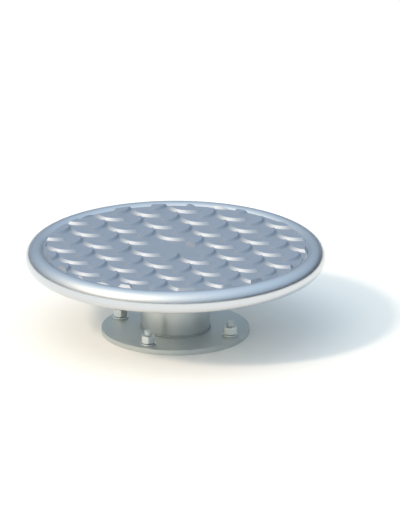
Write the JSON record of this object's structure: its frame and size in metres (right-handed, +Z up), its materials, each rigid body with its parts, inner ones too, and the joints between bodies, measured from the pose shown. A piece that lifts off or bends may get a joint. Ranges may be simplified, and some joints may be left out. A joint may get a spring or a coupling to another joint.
{
  "type": "pivot disc",
  "caption": "Round tread-plate standing disc with a tube rim that turns on ball bearings in a short column over a round floor flange with studs and nuts.",
  "frame": {"origin": "centre of the floor flange's underside, on the floor", "axes": "+Z up along the axis the deck turns about; +X and +Y pass through the floor studs"},
  "size_m": [0.45, 0.45, 0.136],
  "materials": {
    "tread_steel": "satin, pickled tread plate",
    "rim_steel": "polished satin tube",
    "column_steel": "satin",
    "flange_steel": "satin",
    "arm_steel": "satin, out of sight",
    "fastener_zinc": "zinc plated",
    "bearing_steel": "ground and polished",
    "cage_brass": "machined",
    "seal_rubber": "matt"
  },
  "bodies": {
    "base": {"base_flange": "flange_steel", "pedestal_tube": "column_steel", "anchor_stud_1": "fastener_zinc", "anchor_stud_2": "fastener_zinc", "anchor_stud_3": "fastener_zinc", "anchor_stud_4": "fastener_zinc", "stud_washer_1": "fastener_zinc", "stud_washer_2": "fastener_zinc", "stud_washer_3": "fastener_zinc", "stud_washer_4": "fastener_zinc", "stud_nut_1": "fastener_zinc", "stud_nut_2": "fastener_zinc", "stud_nut_3": "fastener_zinc", "stud_nut_4": "fastener_zinc", "bearing_cartridge": "column_steel", "lower_circlip": "bearing_steel", "upper_circlip": "bearing_steel", "spindle_seal": "seal_rubber", "lower_bearing_outer_ring": "bearing_steel", "upper_bearing_outer_ring": "bearing_steel"},
    "deck": {"tread_plate": "tread_steel", "rim_tube": "rim_steel", "deck_arm_1": "arm_steel", "deck_arm_2": "arm_steel", "deck_arm_3": "arm_steel", "deck_arm_4": "arm_steel", "deck_arm_5": "arm_steel", "deck_arm_6": "arm_steel", "hub_spindle": "arm_steel", "weather_skirt": "arm_steel", "spindle_nut": "fastener_zinc", "spindle_tab_washer": "fastener_zinc", "bearing_spacer": "fastener_zinc", "lower_bearing_inner_ring": "bearing_steel", "upper_bearing_inner_ring": "bearing_steel"},
    "lower_cage": {"lower_ball_cage": "cage_brass", "lower_ball_1": "bearing_steel", "lower_ball_2": "bearing_steel", "lower_ball_3": "bearing_steel", "lower_ball_4": "bearing_steel", "lower_ball_5": "bearing_steel", "lower_ball_6": "bearing_steel", "lower_ball_7": "bearing_steel", "lower_ball_8": "bearing_steel", "lower_ball_9": "bearing_steel"},
    "upper_cage": {"upper_ball_cage": "cage_brass", "upper_ball_1": "bearing_steel", "upper_ball_2": "bearing_steel", "upper_ball_3": "bearing_steel", "upper_ball_4": "bearing_steel", "upper_ball_5": "bearing_steel", "upper_ball_6": "bearing_steel", "upper_ball_7": "bearing_steel", "upper_ball_8": "bearing_steel", "upper_ball_9": "bearing_steel"}
  },
  "joints": [
    {"name": "deck_spin", "type": "hinge", "parent": "base", "child": "deck", "pos_m": [0, 0, 0.1236], "axis": [0, 0, 1], "continuous": true},
    {"name": "lower_cage_spin", "type": "hinge", "parent": "base", "child": "lower_cage", "pos_m": [0, 0, 0.0345], "axis": [0, 0, 1], "continuous": true},
    {"name": "upper_cage_spin", "type": "hinge", "parent": "base", "child": "upper_cage", "pos_m": [0, 0, 0.0925], "axis": [0, 0, 1], "continuous": true}
  ],
  "couplings": [
    {"joint": "lower_cage_spin", "follows": "deck_spin", "ratio": 0.3961},
    {"joint": "upper_cage_spin", "follows": "deck_spin", "ratio": 0.3961}
  ]
}
